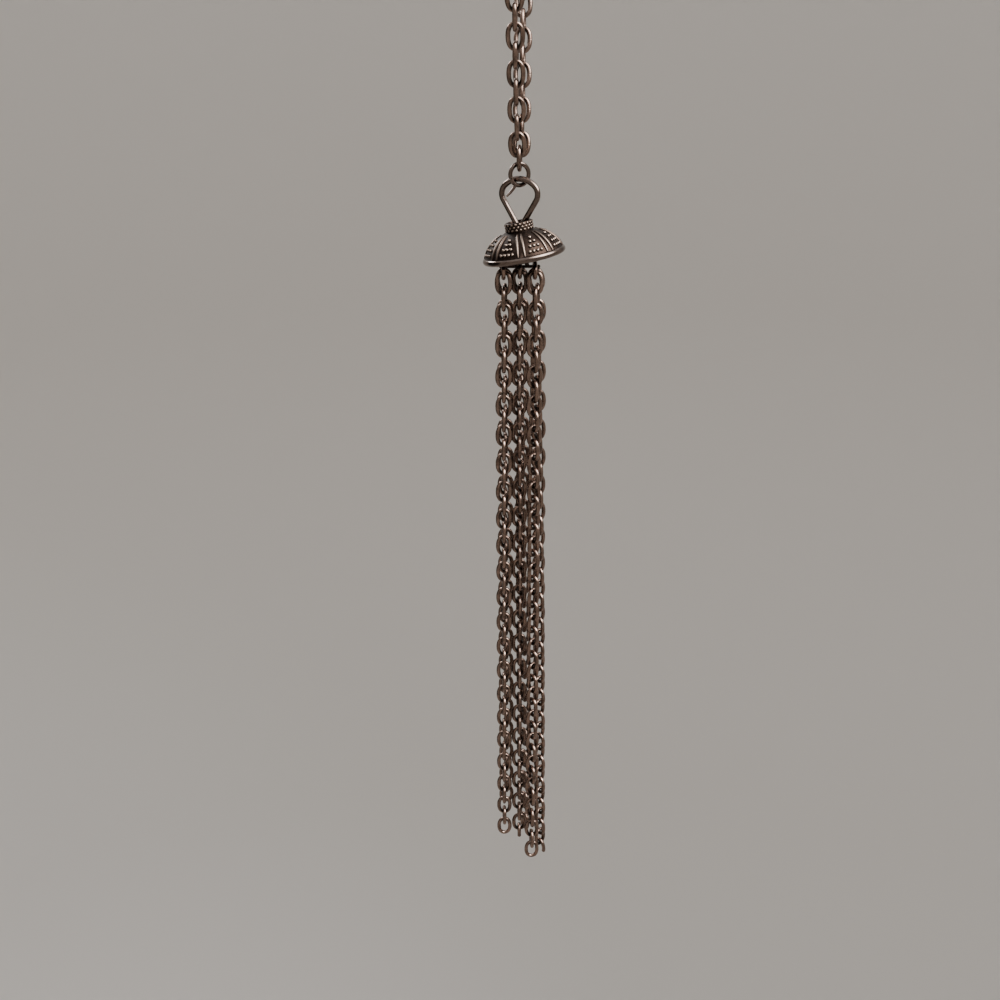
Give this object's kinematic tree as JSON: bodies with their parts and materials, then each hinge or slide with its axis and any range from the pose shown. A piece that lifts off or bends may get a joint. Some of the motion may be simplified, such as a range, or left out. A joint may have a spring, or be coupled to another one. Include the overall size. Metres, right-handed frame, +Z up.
{
  "type": "tassel necklace",
  "caption": "Long cable chain necklace with a jump ring, a wire bail, a tilted granulated bead cap and a tassel of hanging chain strands.",
  "frame": {"origin": "top of the loop, on the chain's middle line, where it lies on the nape", "axes": "+Z up, +X across the loop, +Y through the loop"},
  "size_m": [0.1218, 0.0098, 0.4089],
  "materials": {
    "chain_metal": "antique silver, polished",
    "cap_metal": "antique silver, dark in the recesses"
  },
  "bodies": {
    "necklace": {"neck_chain_left": "chain_metal", "neck_chain_right": "chain_metal", "front_links_left": "chain_metal", "front_links_right": "chain_metal", "clasp": "cap_metal", "centre_link": "chain_metal"},
    "ring": {"jump_ring": "chain_metal"},
    "drop": {"bail": "cap_metal", "cap": "cap_metal", "tassel_strand_1": "chain_metal", "tassel_strand_2": "chain_metal", "tassel_strand_3": "chain_metal", "tassel_strand_4": "chain_metal", "tassel_strand_5": "chain_metal", "tassel_strand_6": "chain_metal"}
  },
  "joints": [
    {"name": "ring_swing", "type": "hinge", "parent": "necklace", "child": "ring", "pos_m": [0, 0, -0.30965], "axis": [1, 0, 0], "range_deg": [-30, 30]},
    {"name": "drop_swing", "type": "hinge", "parent": "ring", "child": "drop", "pos_m": [0, 0, -0.31137], "axis": [-0.5299, 0.848, 0], "range_deg": [-40, 40]}
  ]
}
